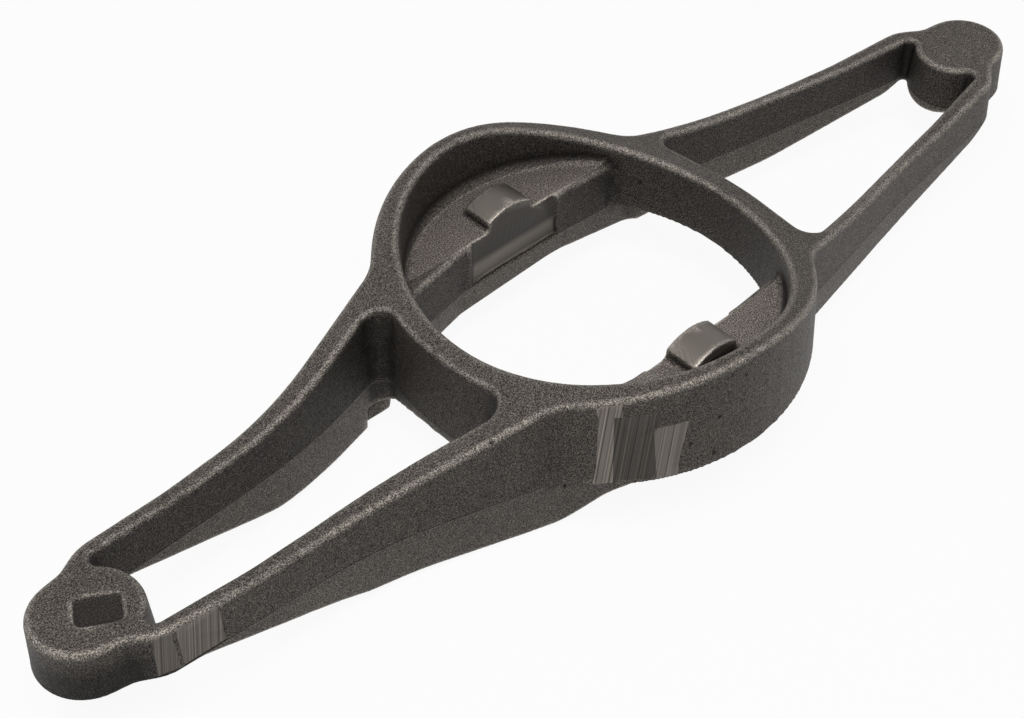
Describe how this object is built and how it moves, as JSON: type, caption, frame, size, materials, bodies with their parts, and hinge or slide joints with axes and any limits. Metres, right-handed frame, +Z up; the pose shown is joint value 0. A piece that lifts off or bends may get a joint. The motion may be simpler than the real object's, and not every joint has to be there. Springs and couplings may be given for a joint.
{
  "type": "clutch release fork",
  "caption": "One-piece cast clutch fork: an oval ring with crowned thrust pads on inner shelves, carried by paired arms that meet in a round boss at each end.",
  "frame": {"origin": "on the ring's upright centre line, in the plane that the underside rests on", "axes": "+X along the fork towards the end with the wider window, +Y across it, +Z up out of the side that carries the thrust pads"},
  "size_m": [0.3688, 0.1268, 0.0511],
  "materials": {
    "casting": "shot-blasted as-cast surface with two milled thrust faces"
  },
  "bodies": {
    "root": {"clutch_fork": "casting"}
  },
  "joints": []
}
